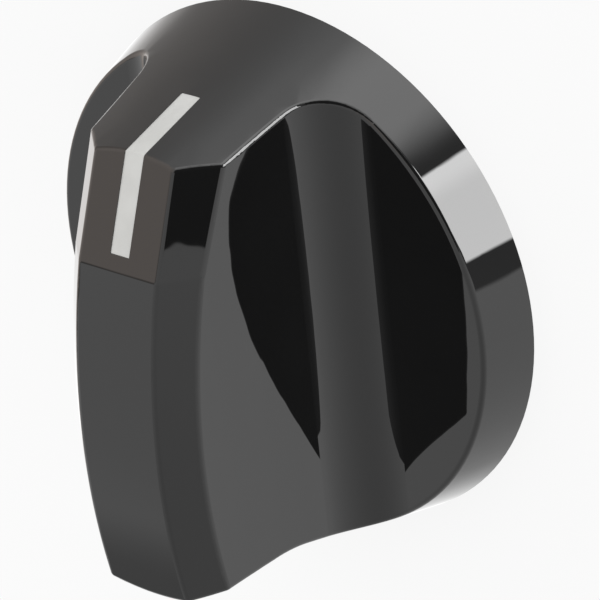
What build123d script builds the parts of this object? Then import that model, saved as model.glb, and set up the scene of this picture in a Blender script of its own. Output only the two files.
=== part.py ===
from build123d import *

import os
from math import cos, radians, sin, sqrt, tan

# Stove knob: a moulded body with a bar grip, a white pointer line and a spring clip in its hub.
# Millimetres. +Z is the knob's axis, out of the front. The pointer is at +Y. The back rim is at z = 0.

# Skirt, a cone that narrows towards the front
RIM_RADIUS = 30.0
SKIRT_LEAN = 14.3
WALL = 2.0

# Grip, a bar across the skirt with slightly hollow sides, sized at its foot
GRIP_HALF_WIDTH = 10.6
GRIP_DRAFT = 8.6
GRIP_SIDE_RADIUS = 220.0
TAIL_RADIUS = 25.4
TAIL_DRAFT = 0.9
TAIL_BLEND = 20.0

# Finger recess on each side of the grip
RECESS_FLOOR = 6.5
ROOT_FILLET = 6.6

# Front of the grip: a crowned face, a flat pointer facet and a bevel on each side
FRONT_HEIGHT = 31.9
CROWN_RADIUS = 78.0
CROWN_SETBACK = 9.0
CREASE_OFFSET = 12.3
CREASE_RADIUS = 2.0
FACET_ANGLE = 22.4
FACE_HALF_WIDTH = 5.2
BEVEL_ANGLE = 45.0

# Edge rounding
FRONT_EDGE = 0.8
RIM_EDGE = 0.6

# Pointer line in its groove
LINE_WIDTH = 2.5
LINE_FOOT = 14.85
LINE_TOP_GAP = 1.6
GROOVE_DEPTH = 0.4
LINE_SINK = 0.08

# Hub with a D-shaped shaft bore behind a round mouth, and ribs to the skirt
HUB_RADIUS = 7.0
HUB_SETBACK = 1.0
BORE_RADIUS = 3.05
MOUTH_CLEARANCE = 0.25
MOUTH_DEPTH = 6.0
D_DEPTH = 15.0
FLAT_OFFSET = 1.55
RIB_THICKNESS = 1.8
RIB_SETBACK = 1.4
RIB_ANGLES = (-40, 0, 40)

# Spring clip, a bowed strip in a slot behind the bore's flat
CLIP_WIDTH = 3.0
CLIP_THICKNESS = 0.4
CLIP_LENGTH = 12.0
CLIP_PAD = 1.5
CLIP_PROUD = 0.25
SLOT_DEPTH = 0.9
SLOT_CLEARANCE = 0.1

# Room that the cutting shapes need beyond the knob, and slack for telling edges apart
MARGIN = 5.0
EDGE_TOLERANCE = 0.2
LEVEL_TOLERANCE = 0.001
REACH = RIM_RADIUS + MARGIN
TOP = FRONT_HEIGHT + MARGIN


def blank(inset, base):
    """Skirt cone, with the tail end of the grip carried up to the front as a steep wall."""
    lean = tan(radians(SKIRT_LEAN))
    steep = tan(radians(TAIL_DRAFT))
    foot = RIM_RADIUS - inset / cos(radians(SKIRT_LEAN))
    tail = TAIL_RADIUS - inset + steep * FRONT_HEIGHT
    meet = (foot - tail) / (lean - steep)
    foot_point = (foot - base * lean, base)
    meet_point = (foot - meet * lean, meet)
    cone_line = Polyline((0, base), foot_point, (foot - TOP * lean, TOP), (0, TOP), close=True)
    wall_line = Polyline((0, base), foot_point, meet_point, (tail - TOP * steep, TOP), (0, TOP), close=True)
    cone = make_face(cone_line)
    wall = make_face(wall_line)
    wall = fillet(wall.vertices().sort_by_distance(meet_point)[0], TAIL_BLEND + inset)
    pointer_half = revolve(Plane.XZ * cone, Axis.Z, revolution_arc=180)
    tail_half = revolve(Plane.XZ * wall, Axis.Z, revolution_arc=180)
    return pointer_half + Rot(0, 0, 180) * tail_half


def recess(inset):
    """Finger recess on the right of the grip: floor, root fillet and hollow side, run along the grip."""
    draft = radians(GRIP_DRAFT)
    centre = (GRIP_HALF_WIDTH + GRIP_SIDE_RADIUS * cos(draft), RECESS_FLOOR + GRIP_SIDE_RADIUS * sin(draft))
    beside_grip = Pos(*centre) * Circle(GRIP_SIDE_RADIUS + inset)
    above_floor = Pos(0, RECESS_FLOOR - inset) * Rectangle(2 * REACH, 2 * TOP, align=(Align.CENTER, Align.MIN))
    opening = beside_grip & above_floor
    root = opening.vertices().sort_by_distance((GRIP_HALF_WIDTH, RECESS_FLOOR))[0]
    return extrude(Plane.XZ * fillet(root, ROOT_FILLET + inset), REACH, both=True)


def front(inset):
    """Side view of the front: the crown's arc cut off by the pointer facet."""
    drop = CROWN_RADIUS - sqrt(CROWN_RADIUS**2 - (CREASE_OFFSET + CROWN_SETBACK) ** 2)
    span = 2 * CROWN_RADIUS
    crown = Pos(-CROWN_SETBACK, FRONT_HEIGHT - CROWN_RADIUS) * Circle(CROWN_RADIUS - inset)
    below_facet = Pos(0, -inset) * Rectangle(span, span, align=(Align.CENTER, Align.MAX))
    facet = Pos(CREASE_OFFSET, FRONT_HEIGHT - drop) * Rot(0, 0, -FACET_ANGLE) * below_facet
    profile = crown & facet
    crease = profile.vertices().sort_by(Axis.Y)[-1]
    return fillet(crease, CREASE_RADIUS)


def face_and_bevels(inset):
    """Front view cuts: the front run straight across, and run down each side for the bevels."""
    profile = Plane.YZ * front(inset)
    fall = tan(radians(BEVEL_ANGLE))
    half = FACE_HALF_WIDTH - inset * (1 / cos(radians(BEVEL_ANGLE)) - 1) / fall
    solid = extrude(profile, REACH, both=True)
    for side in (1, -1):
        solid &= Pos(side * half, 0, 0) * extrude(profile, 2 * REACH, dir=(side, 0, -fall), both=True)
    return solid


def form(inset, base):
    """The knob's outer shape, with every face moved in by the inset."""
    right = recess(inset)
    return (blank(inset, base) & face_and_bevels(inset)) - right - mirror(right, Plane.YZ)


def from_axis(point):
    """Distance of a point from the knob's axis."""
    return sqrt(point.X**2 + point.Y**2)


def along_grip(edge):
    """True for the long edges between the face, the bevels and the grip's sides."""
    run = edge @ 1 - edge @ 0
    above_root = (edge @ 0.5).Z > RECESS_FLOOR + ROOT_FILLET
    return above_root and abs(run.Y) > max(abs(run.X), abs(run.Z))


def on_rim(edge):
    """True where the front, a grip side or a recess meets the outer wall."""
    middle = edge @ 0.5
    skirt_radius = RIM_RADIUS - tan(radians(SKIRT_LEAN)) * middle.Z
    outside = from_axis(middle) > skirt_radius - EDGE_TOLERANCE
    on_floor = abs(middle.Z - RECESS_FLOOR) < EDGE_TOLERANCE
    climbing = abs(middle.Z - (edge @ 0).Z) > LEVEL_TOLERANCE
    return outside and (on_floor or climbing and middle.Z > RECESS_FLOOR)


def rounded_form():
    """Outer shape with the long edges of its front rounded, and then the rim of the outer wall."""
    solid = form(0, 0)
    solid = fillet([edge for edge in solid.edges() if along_grip(edge)], FRONT_EDGE)
    return fillet([edge for edge in solid.edges() if on_rim(edge)], RIM_EDGE)


def pointer_strip():
    """Room for the pointer line, from its foot on the wall to near the crease."""
    size = (LINE_WIDTH, REACH, TOP)
    box = Box(*size, align=(Align.CENTER, Align.MIN, Align.MIN))
    return Pos(0, CREASE_OFFSET + LINE_TOP_GAP, LINE_FOOT) * box


def d_bore():
    """Shaft hole: a round mouth, a D further in, and a slot for the clip behind the flat of the D."""
    mouth_radius = BORE_RADIUS + MOUTH_CLEARANCE
    mouth = Cylinder(mouth_radius, MOUTH_DEPTH, align=(Align.CENTER, Align.CENTER, Align.MIN))
    above_flat = Rectangle(2 * BORE_RADIUS, 2 * BORE_RADIUS, align=(Align.CENTER, Align.MIN))
    d_face = Circle(BORE_RADIUS) & Pos(0, -FLAT_OFFSET) * above_flat
    d_part = extrude(d_face, MOUTH_DEPTH + D_DEPTH)
    slot_width = CLIP_WIDTH + 2 * SLOT_CLEARANCE
    slot_length = CLIP_LENGTH + SLOT_CLEARANCE
    slot = Box(slot_width, SLOT_DEPTH + FLAT_OFFSET, slot_length, align=(Align.CENTER, Align.MIN, Align.MIN))
    slot = Pos(0, -FLAT_OFFSET - SLOT_DEPTH, MOUTH_DEPTH) * slot
    return Pos(0, 0, HUB_SETBACK) * (mouth + d_part + slot)


def hub_and_ribs():
    """Plastic left standing in the hollow back: the hub and its ribs."""
    hub = Cylinder(HUB_RADIUS, TOP, align=(Align.CENTER, Align.CENTER, Align.MIN))
    solid = Pos(0, 0, HUB_SETBACK) * hub
    rib = Box(2 * REACH, RIB_THICKNESS, TOP, align=(Align.CENTER, Align.CENTER, Align.MIN))
    for angle in RIB_ANGLES:
        solid += Pos(0, 0, RIB_SETBACK) * Rot(0, 0, angle) * rib
    return solid


def knob_body():
    """The moulding: outer shape, hollow back with hub and ribs, shaft bore and pointer groove."""
    hollow = form(WALL, -MARGIN) - hub_and_ribs()
    groove = pointer_strip() - form(GROOVE_DEPTH, 0)
    return rounded_form() - hollow - d_bore() - groove


def pointer_line():
    """White fill in the groove, a little below the black surface."""
    return (form(LINE_SINK, 0) & pointer_strip()) - form(GROOVE_DEPTH, 0)


def spring_clip():
    """Bowed steel strip with flat ends on the slot's floor and its middle proud of the flat."""
    back = -FLAT_OFFSET - SLOT_DEPTH
    face = back + CLIP_THICKNESS
    crest = -FLAT_OFFSET + CLIP_PROUD
    low = HUB_SETBACK + MOUTH_DEPTH
    high = low + CLIP_LENGTH
    bow_low = low + CLIP_PAD
    bow_high = high - CLIP_PAD
    middle = (low + high) / 2
    front_line = [
        Line((face, low), (face, bow_low)),
        ThreePointArc((face, bow_low), (crest, middle), (face, bow_high)),
        Line((face, bow_high), (face, high)),
    ]
    back_line = [
        Line((back, high), (back, bow_high)),
        ThreePointArc((back, bow_high), (crest - CLIP_THICKNESS, middle), (back, bow_low)),
        Line((back, bow_low), (back, low)),
    ]
    ends = [
        Line((face, high), (back, high)),
        Line((back, low), (face, low)),
    ]
    strip = make_face(front_line + back_line + ends)
    return extrude(Plane.YZ * strip, CLIP_WIDTH / 2, both=True)


os.makedirs("parts", exist_ok=True)
parts = {"knob_body": knob_body(), "pointer_line": pointer_line(), "spring_clip": spring_clip()}
for name, part in parts.items():
    export_step(part, f"parts/{name}.step")
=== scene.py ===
from math import cos, radians, sin

import bpy
from mathutils import Matrix, Quaternion, Vector


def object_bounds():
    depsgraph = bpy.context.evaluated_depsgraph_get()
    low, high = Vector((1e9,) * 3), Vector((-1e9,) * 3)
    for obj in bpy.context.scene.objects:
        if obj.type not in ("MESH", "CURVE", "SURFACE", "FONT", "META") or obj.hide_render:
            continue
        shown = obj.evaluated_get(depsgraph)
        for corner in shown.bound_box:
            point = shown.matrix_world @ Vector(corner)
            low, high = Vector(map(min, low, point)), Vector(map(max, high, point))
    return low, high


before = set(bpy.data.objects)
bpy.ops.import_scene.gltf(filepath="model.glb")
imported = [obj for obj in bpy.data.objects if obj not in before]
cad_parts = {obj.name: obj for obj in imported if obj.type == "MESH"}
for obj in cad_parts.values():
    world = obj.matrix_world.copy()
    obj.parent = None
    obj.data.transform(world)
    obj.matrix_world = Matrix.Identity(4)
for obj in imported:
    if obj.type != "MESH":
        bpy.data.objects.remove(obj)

CAD_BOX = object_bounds()
MM = 0.001

# Camera, as a photographer would set it: metres, degrees and millimetres of lens
CAMERA_TARGET = Vector((0.44, -3.65, 2.23)) * MM
CAMERA_DISTANCE = 0.5
CAMERA_AZIMUTH = 128.9
CAMERA_ELEVATION = 41.1
CAMERA_ROLL = -124.2
CAMERA_LENS = 281.6

# Floor
FLOOR_SIZE = 4.0
FLOOR_COLOUR = (0.92, 0.92, 0.92, 1.0)
FLOOR_ROUGHNESS = 0.9
FLOOR_GLOW = 0.85

# Set around the knob. Its directions are right, up and towards the camera in the photograph.
# Spans are where something fades in or out along a direction, and a level of 1 looks white.
RIGHT = (1.0, 0.0, 0.0)
UP = (0.0, 1.0, 0.0)

# Tent, brighter above and at its sides
TENT_SLOPE = (0.34, 0.94, 0.0)
TENT_SPAN = (-1.0, 1.0)
TENT_LEVELS = (0.55, 1.25)
TENT_SIDES = 0.2

# Soft round patches: direction, span and the level that each adds
BACKDROP = ((0.0, 0.0, -1.0), (0.75, 0.97), 0.4)
TOP_LIGHT = ((0.3, 0.83, 0.47), (0.88, 0.99), 0.95)
DIM_CORNER = ((-0.41, 0.77, -0.49), (0.64, 0.98), -0.6)
DIM_TABLE = ((-0.54, -0.64, -0.54), (0.94, 0.998), -0.33)

# Dark side around the lens, and the share of the tent's light that it keeps
LENS_SIDE = (0.12, 0.08, 0.99)
LENS_SIDE_SPAN = (0.8906, 0.8911)
LENS_SIDE_SHARE = 0.12

# Dim edge of the table at the left
TABLE_EDGE_HEIGHT = ((-0.22, -0.19), (-0.16, -0.13))
TABLE_EDGE_SIDE = (-0.85, -0.75)
TABLE_EDGE_LEVEL = 0.4

# Warm wall at the left
PLAIN_TINT = (1.0, 1.0, 1.0, 1.0)
WARM_TINT = (1.1, 0.985, 0.915, 1.0)
WARM_SIDE = (-0.7, -0.1)
WARM_HEIGHT = (-0.2, -0.14)

# Softbox in a dark frame at the right, brighter near its top
BOX_ACROSS = (-0.574, 0.0, 0.819)
BOX_AHEAD = (0.0, 0.1)
BOX_HALF_WIDTH = (0.3, 0.34)
BOX_HEIGHT = ((-0.055, -0.035), (0.47, 0.49))
BOX_RISE = (0.3, 0.45)
BOX_LEVELS = (7.5, 9.0)
FRAME_HALF_WIDTH = (0.4, 0.44)
FRAME_HEIGHT = ((-0.225, -0.195), (0.5, 0.76))
FRAME_LEVEL = 0.3

# Finishes. A noise has a scale per metre and a detail, and a relief has a strength and a depth.
NOISE_MIDDLE = (0.35, 0.65)
BLACK_COLOURS = ((0.0010, 0.0010, 0.0011, 1.0), (0.0018, 0.0018, 0.0019, 1.0))
BLACK_ROUGHNESS = (0.006, 0.018)
BLACK_CLOUD = (90.0, 3.0)
BLACK_PEEL = (200.0, 1.0)
BLACK_RELIEF = (1.0, 0.01 * MM)
BLACK_IOR = 1.7
WHITE_COLOURS = ((0.64, 0.64, 0.62, 1.0), (0.69, 0.69, 0.67, 1.0))
WHITE_ROUGHNESS = (0.35, 0.55)
WHITE_CLOUD = (300.0, 4.0)
WHITE_GRAIN = (2500.0, 2.0)
WHITE_RELIEF = (0.2, 0.02 * MM)
STEEL_COLOURS = ((0.42, 0.42, 0.43, 1.0), (0.62, 0.62, 0.63, 1.0))
STEEL_ROUGHNESS = (0.22, 0.4)
STEEL_GRAIN = (3000.0, 3.0)
STEEL_STRETCH = (1.0, 1.0, 0.05)
STEEL_RELIEF = (0.2, 0.01 * MM)
FLAT_FACE_WEIGHT = 100


def new_material(name):
    """A node material with one shader: the material, its node tree and the shader."""
    material = bpy.data.materials.new(name)
    material.use_nodes = True
    tree = material.node_tree
    tree.nodes.clear()
    shader = tree.nodes.new("ShaderNodeBsdfPrincipled")
    output = tree.nodes.new("ShaderNodeOutputMaterial")
    tree.links.new(shader.outputs["BSDF"], output.inputs["Surface"])
    return material, tree, shader


def noise(tree, grain, stretch=(1.0, 1.0, 1.0)):
    """Noise in the row frame, so that its grain has a real size."""
    scale, detail = grain
    place = tree.nodes.new("ShaderNodeTexCoord")
    mapping = tree.nodes.new("ShaderNodeMapping")
    mapping.inputs["Scale"].default_value = stretch
    tree.links.new(place.outputs["Object"], mapping.inputs["Vector"])
    texture = tree.nodes.new("ShaderNodeTexNoise")
    texture.inputs["Scale"].default_value = scale
    texture.inputs["Detail"].default_value = detail
    tree.links.new(mapping.outputs["Vector"], texture.inputs["Vector"])
    return texture.outputs["Fac"]


def ramp(tree, factor, colours):
    """Colour that goes from one to another over the middle of a noise."""
    node = tree.nodes.new("ShaderNodeValToRGB")
    for element, position, colour in zip(node.color_ramp.elements, NOISE_MIDDLE, colours):
        element.position = position
        element.color = colour
    tree.links.new(factor, node.inputs["Fac"])
    return node.outputs["Color"]


def fade(tree, value, span, levels, kind="SMOOTHSTEP"):
    """Number that goes from one level to another over a span, and is flat beyond it."""
    node = tree.nodes.new("ShaderNodeMapRange")
    node.interpolation_type = kind
    node.inputs["From Min"].default_value = span[0]
    node.inputs["From Max"].default_value = span[1]
    node.inputs["To Min"].default_value = levels[0]
    node.inputs["To Max"].default_value = levels[1]
    tree.links.new(value, node.inputs["Value"])
    return node.outputs["Result"]


def spread(tree, factor, levels):
    """Number that goes evenly from one level to another, as a factor goes from nothing to one."""
    return fade(tree, factor, (0.0, 1.0), levels, "LINEAR")


def bump(tree, height, relief):
    """Surface relief of a real depth."""
    strength, depth = relief
    node = tree.nodes.new("ShaderNodeBump")
    node.inputs["Strength"].default_value = strength
    node.inputs["Distance"].default_value = depth
    tree.links.new(height, node.inputs["Height"])
    return node.outputs["Normal"]


def black_plastic():
    """Polished black moulding with a trace of orange peel and uneven gloss."""
    material, tree, shader = new_material("black_plastic")
    cloud = noise(tree, BLACK_CLOUD)
    peel = noise(tree, BLACK_PEEL)
    tree.links.new(ramp(tree, cloud, BLACK_COLOURS), shader.inputs["Base Color"])
    tree.links.new(spread(tree, cloud, BLACK_ROUGHNESS), shader.inputs["Roughness"])
    tree.links.new(bump(tree, peel, BLACK_RELIEF), shader.inputs["Normal"])
    shader.inputs["IOR"].default_value = BLACK_IOR
    return material


def white_fill():
    """White line fill with a satin, slightly uneven skin."""
    material, tree, shader = new_material("white_fill")
    cloud = noise(tree, WHITE_CLOUD)
    grain = noise(tree, WHITE_GRAIN)
    tree.links.new(ramp(tree, cloud, WHITE_COLOURS), shader.inputs["Base Color"])
    tree.links.new(spread(tree, cloud, WHITE_ROUGHNESS), shader.inputs["Roughness"])
    tree.links.new(bump(tree, grain, WHITE_RELIEF), shader.inputs["Normal"])
    return material


def spring_steel():
    """Rolled steel strip with its grain along the strip."""
    material, tree, shader = new_material("spring_steel")
    grain = noise(tree, STEEL_GRAIN, STEEL_STRETCH)
    tree.links.new(ramp(tree, grain, STEEL_COLOURS), shader.inputs["Base Color"])
    tree.links.new(spread(tree, grain, STEEL_ROUGHNESS), shader.inputs["Roughness"])
    tree.links.new(bump(tree, grain, STEEL_RELIEF), shader.inputs["Normal"])
    shader.inputs["Metallic"].default_value = 1.0
    return material


def dress(node, material):
    """Gives a CAD node its finish."""
    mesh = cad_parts[node].data
    mesh.materials.clear()
    mesh.materials.append(material)


def even_normals(node):
    """Shades each flat face flat up to its rounded edges."""
    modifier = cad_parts[node].modifiers.new("even_normals", "WEIGHTED_NORMAL")
    modifier.mode = "FACE_AREA"
    modifier.weight = FLAT_FACE_WEIGHT


def pale_matt():
    """Pale matt finish that looks nearly white to the camera and still takes a light shadow."""
    material, tree, shader = new_material("floor")
    shader.inputs["Base Color"].default_value = FLOOR_COLOUR
    shader.inputs["Roughness"].default_value = FLOOR_ROUGHNESS
    shader.inputs["Specular IOR Level"].default_value = 0.0
    path = tree.nodes.new("ShaderNodeLightPath")
    share = spread(tree, path.outputs["Is Camera Ray"], (0.0, FLOOR_GLOW))
    white = tree.nodes.new("ShaderNodeEmission")
    mix = tree.nodes.new("ShaderNodeMixShader")
    tree.links.new(share, mix.inputs["Fac"])
    tree.links.new(shader.outputs["BSDF"], mix.inputs[1])
    tree.links.new(white.outputs["Emission"], mix.inputs[2])
    tree.links.new(mix.outputs["Shader"], tree.nodes["Material Output"].inputs["Surface"])
    return material


def plain_floor():
    """Pale floor under the back rim, left out of what the gloss mirrors."""
    bpy.ops.mesh.primitive_plane_add(size=FLOOR_SIZE, location=(0.0, 0.0, CAD_BOX[0][2]))
    floor = bpy.context.object
    floor.name = "floor"
    floor.visible_glossy = False
    floor.data.materials.append(pale_matt())


def camera_turn():
    """Turn of the photograph's camera, and the direction from the knob towards it."""
    azimuth = radians(CAMERA_AZIMUTH)
    elevation = radians(CAMERA_ELEVATION)
    away = Vector((cos(elevation) * sin(azimuth), -cos(elevation) * cos(azimuth), sin(elevation)))
    roll = Quaternion((0.0, 0.0, 1.0), radians(CAMERA_ROLL))
    return away.to_track_quat("Z", "Y") @ roll, away


def along(tree, sky, direction):
    """How far the sky's direction points along a direction of the set."""
    turn, _ = camera_turn()
    node = tree.nodes.new("ShaderNodeVectorMath")
    node.operation = "DOT_PRODUCT"
    node.inputs[1].default_value = turn @ Vector(direction).normalized()
    tree.links.new(sky, node.inputs[0])
    return node.outputs["Value"]


def arithmetic(tree, operation, first, second):
    """Result of an operation on two numbers, the second of them a link or a constant."""
    node = tree.nodes.new("ShaderNodeMath")
    node.operation = operation
    tree.links.new(first, node.inputs[0])
    if isinstance(second, float):
        node.inputs[1].default_value = second
    else:
        tree.links.new(second, node.inputs[1])
    return node.outputs["Value"]


def times(tree, first, second):
    """Product of two numbers."""
    return arithmetic(tree, "MULTIPLY", first, second)


def over(tree, ground, level, mask):
    """A level laid over a ground where the mask is one."""
    gap = arithmetic(tree, "SUBTRACT", ground, level)
    return arithmetic(tree, "SUBTRACT", ground, times(tree, gap, mask))


def with_patch(tree, sky, light, patch):
    """A light with a soft round patch added to it."""
    direction, span, level = patch
    added = fade(tree, along(tree, sky, direction), span, (0.0, level))
    return arithmetic(tree, "ADD", light, added)


def between(tree, value, spans):
    """One between two spans, over which it fades in and out, and nothing outside them."""
    lower = fade(tree, value, spans[0], (0.0, 1.0))
    upper = fade(tree, value, spans[1], (1.0, 0.0))
    return times(tree, lower, upper)


def panel(tree, sky, height, half_width):
    """One within an upright panel at the right of the set, and nothing outside it."""
    inner, outer = half_width
    rows = between(tree, along(tree, sky, UP), height)
    columns = between(tree, along(tree, sky, BOX_ACROSS), ((-outer, -inner), half_width))
    ahead = fade(tree, along(tree, sky, RIGHT), BOX_AHEAD, (0.0, 1.0))
    return times(tree, times(tree, rows, columns), ahead)


def tent_light(tree, sky):
    """Soft white tent with a light over the knob."""
    slope = fade(tree, along(tree, sky, TENT_SLOPE), TENT_SPAN, TENT_LEVELS, "LINEAR")
    across = along(tree, sky, RIGHT)
    sides = times(tree, times(tree, across, across), TENT_SIDES)
    return with_patch(tree, sky, arithmetic(tree, "ADD", slope, sides), TOP_LIGHT)


def table_edge(tree, sky):
    """One along the table's edge at the left of the set, and nothing outside it."""
    rows = between(tree, along(tree, sky, UP), TABLE_EDGE_HEIGHT)
    left = fade(tree, along(tree, sky, RIGHT), TABLE_EDGE_SIDE, (1.0, 0.0))
    return times(tree, rows, left)


def mirrored_light(tree, sky, tent):
    """The tent and what stands in it: backdrop, dim places, lens side, table edge and softbox."""
    light = tent
    for patch in (BACKDROP, DIM_CORNER, DIM_TABLE):
        light = with_patch(tree, sky, light, patch)
    lens = fade(tree, along(tree, sky, LENS_SIDE), LENS_SIDE_SPAN, (1.0, LENS_SIDE_SHARE))
    light = times(tree, light, lens)
    light = over(tree, light, TABLE_EDGE_LEVEL, table_edge(tree, sky))
    light = over(tree, light, FRAME_LEVEL, panel(tree, sky, FRAME_HEIGHT, FRAME_HALF_WIDTH))
    box_level = fade(tree, along(tree, sky, UP), BOX_RISE, BOX_LEVELS)
    return over(tree, light, box_level, panel(tree, sky, BOX_HEIGHT, BOX_HALF_WIDTH))


def wall_tint(tree, sky, mirrored):
    """Warm tone of the wall at the left of the set, as the gloss mirrors it."""
    left = fade(tree, along(tree, sky, RIGHT), WARM_SIDE, (1.0, 0.0))
    above = fade(tree, along(tree, sky, UP), WARM_HEIGHT, (0.0, 1.0))
    mix = tree.nodes.new("ShaderNodeMix")
    mix.data_type = "RGBA"
    mix.inputs["A"].default_value = PLAIN_TINT
    mix.inputs["B"].default_value = WARM_TINT
    tree.links.new(times(tree, times(tree, left, above), mirrored), mix.inputs["Factor"])
    return mix.outputs["Result"]


def studio_world():
    """Soft light all round, white to the camera, with the whole set in what the gloss mirrors."""
    world = bpy.data.worlds.new("studio")
    world.use_nodes = True
    tree = world.node_tree
    sky = tree.nodes.new("ShaderNodeTexCoord").outputs["Generated"]
    path = tree.nodes.new("ShaderNodeLightPath").outputs
    tent = tent_light(tree, sky)
    light = over(tree, tent, mirrored_light(tree, sky, tent), path["Is Glossy Ray"])
    light = over(tree, light, 1.0, path["Is Camera Ray"])
    background = tree.nodes["Background"]
    tree.links.new(wall_tint(tree, sky, path["Is Glossy Ray"]), background.inputs["Color"])
    tree.links.new(light, background.inputs["Strength"])
    bpy.context.scene.world = world


def photo_camera():
    """Camera on a sphere about the target, rolled about its line of sight."""
    turn, away = camera_turn()
    data = bpy.data.cameras.new("camera")
    data.lens = CAMERA_LENS
    camera = bpy.data.objects.new("camera", data)
    place = Matrix.Translation(CAMERA_TARGET + away * CAMERA_DISTANCE)
    camera.matrix_world = place @ turn.to_matrix().to_4x4()
    bpy.context.scene.collection.objects.link(camera)
    bpy.context.scene.camera = camera


dress("knob_body", black_plastic())
dress("pointer_line", white_fill())
dress("spring_clip", spring_steel())
even_normals("knob_body")
plain_floor()
studio_world()
photo_camera()
bpy.context.scene.view_settings.view_transform = "Standard"
